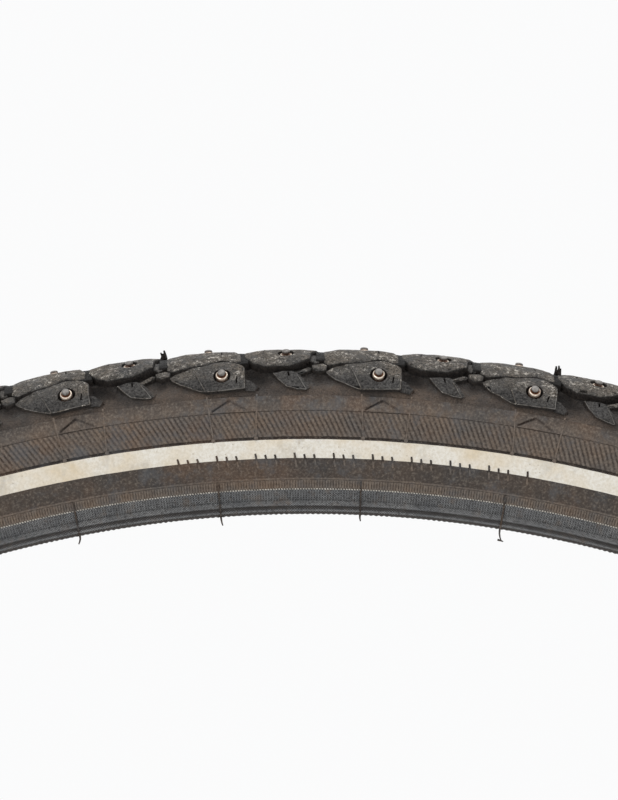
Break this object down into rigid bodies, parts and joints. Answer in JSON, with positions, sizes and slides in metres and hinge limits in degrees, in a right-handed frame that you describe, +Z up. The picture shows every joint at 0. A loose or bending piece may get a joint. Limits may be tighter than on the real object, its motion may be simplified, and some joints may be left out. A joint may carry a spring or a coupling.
{
  "type": "bicycle tire",
  "caption": "Studded winter bicycle tyre with lugged tread, metal studs, reflective sidewall stripe and wired beads, off the rim.",
  "frame": {"origin": "wheel centre: on the axle line, midway between the beads", "axes": "+Y along the axle, pointing to the back sidewall (the pictured sidewall faces -Y); +Z up; +X to the right seen from the front"},
  "size_m": [0.7086, 0.0326, 0.7086],
  "materials": {
    "tread_rubber": "worn, dusty charcoal rubber",
    "belt": "woven, rubber-coated",
    "casing": "rubberised nylon cord",
    "sidewall_rubber": "matt brown-grey rubber with road dust",
    "reflective": "off-white reflective tape, stained",
    "rim_strip": "blue-grey rubberised monofilament",
    "inner_rubber": "plain black rubber",
    "bead_steel": "bronze-coated steel wire",
    "stud_steel": "plated steel, rusty at the rim",
    "stud_carbide": "worn carbide"
  },
  "bodies": {
    "root": {"tread_cap": "tread_rubber", "centre_blocks_front": "tread_rubber", "centre_blocks_back": "tread_rubber", "shoulder_blocks_front": "tread_rubber", "shoulder_blocks_back": "tread_rubber", "side_lugs_front": "tread_rubber", "side_lugs_back": "tread_rubber", "puncture_belt": "belt", "casing_ply_outer": "casing", "casing_ply_inner": "casing", "sidewall_front": "sidewall_rubber", "sidewall_back": "sidewall_rubber", "reflective_stripe_front": "reflective", "reflective_stripe_back": "reflective", "rim_strip_front": "rim_strip", "rim_strip_back": "rim_strip", "bead_wire_front": "bead_steel", "bead_wire_back": "bead_steel", "tread_base": "inner_rubber", "bead_filler_front": "inner_rubber", "bead_filler_back": "inner_rubber", "centre_stud_bodies_front": "stud_steel", "centre_stud_bodies_back": "stud_steel", "shoulder_stud_bodies_front": "stud_steel", "shoulder_stud_bodies_back": "stud_steel", "centre_stud_pins_front": "stud_carbide", "centre_stud_pins_back": "stud_carbide", "shoulder_stud_pins_front": "stud_carbide", "shoulder_stud_pins_back": "stud_carbide"}
  },
  "joints": []
}
